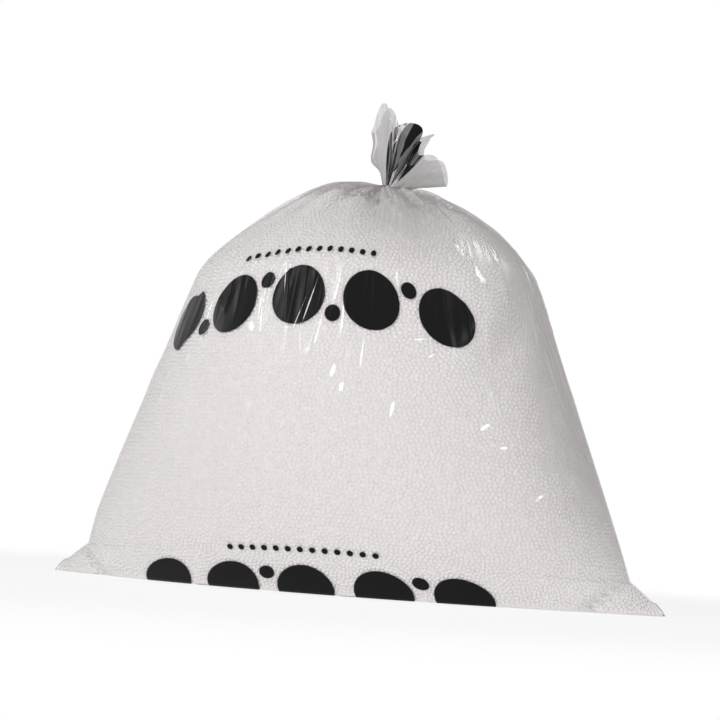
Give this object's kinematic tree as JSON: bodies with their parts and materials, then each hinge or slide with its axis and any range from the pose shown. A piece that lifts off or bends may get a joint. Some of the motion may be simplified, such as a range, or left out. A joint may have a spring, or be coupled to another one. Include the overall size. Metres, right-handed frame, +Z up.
{
  "type": "bag of polystyrene beads",
  "caption": "Clear film bag packed with white foam beads: flat welded foot with corner ears, straight tapering sides, domed top gathered into a choked neck, crumpled free end, black dot print.",
  "frame": {"origin": "on the floor, in the middle of the flat foot", "axes": "+Z up towards the neck, +X to the right along the bottom weld, -Y towards the viewer"},
  "size_m": [0.63, 0.3358, 0.49],
  "materials": {
    "film": "clear glossy polyethylene film with black print",
    "beads": "matt white foam beads"
  },
  "bodies": {
    "root": {"film_bag": "film", "bead_fill": "beads"}
  },
  "joints": []
}
